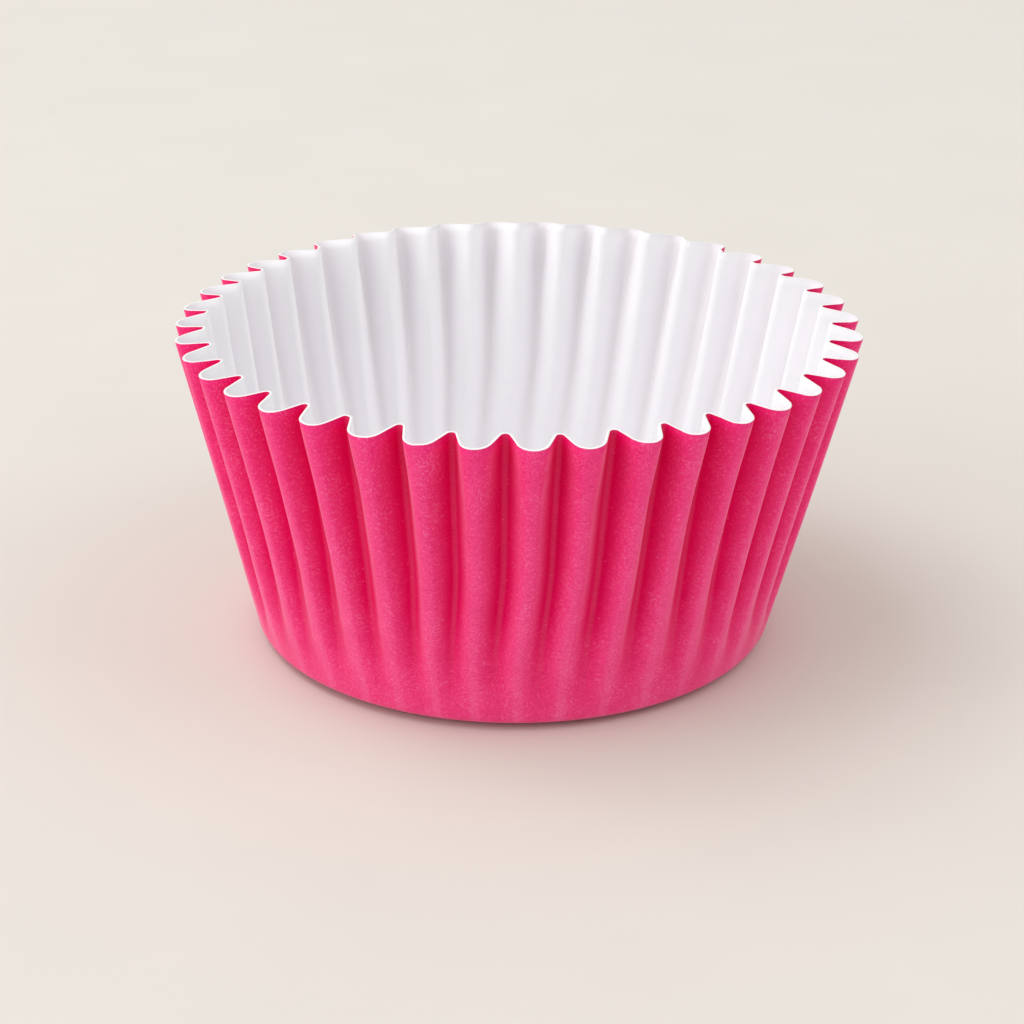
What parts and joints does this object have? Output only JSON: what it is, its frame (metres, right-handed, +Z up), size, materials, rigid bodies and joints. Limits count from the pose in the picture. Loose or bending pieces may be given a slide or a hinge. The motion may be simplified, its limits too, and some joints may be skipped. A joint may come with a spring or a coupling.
{
  "type": "paper candy cup",
  "caption": "Round pleated paper cup that holds a sweet, pink outside and white inside, pressed from flat sheet, with a flat base and a deep wavy rim.",
  "frame": {"origin": "centre of the underside of the flat base, on the cup's axis", "axes": "+Z up along the cup's axis, towards the open rim; a crest of the wall lies on +X and another on -Y, the front"},
  "size_m": [0.0434, 0.0434, 0.0205],
  "materials": {
    "cup_paper": "matt"
  },
  "bodies": {
    "root": {"paper_cup": "cup_paper"}
  },
  "joints": []
}
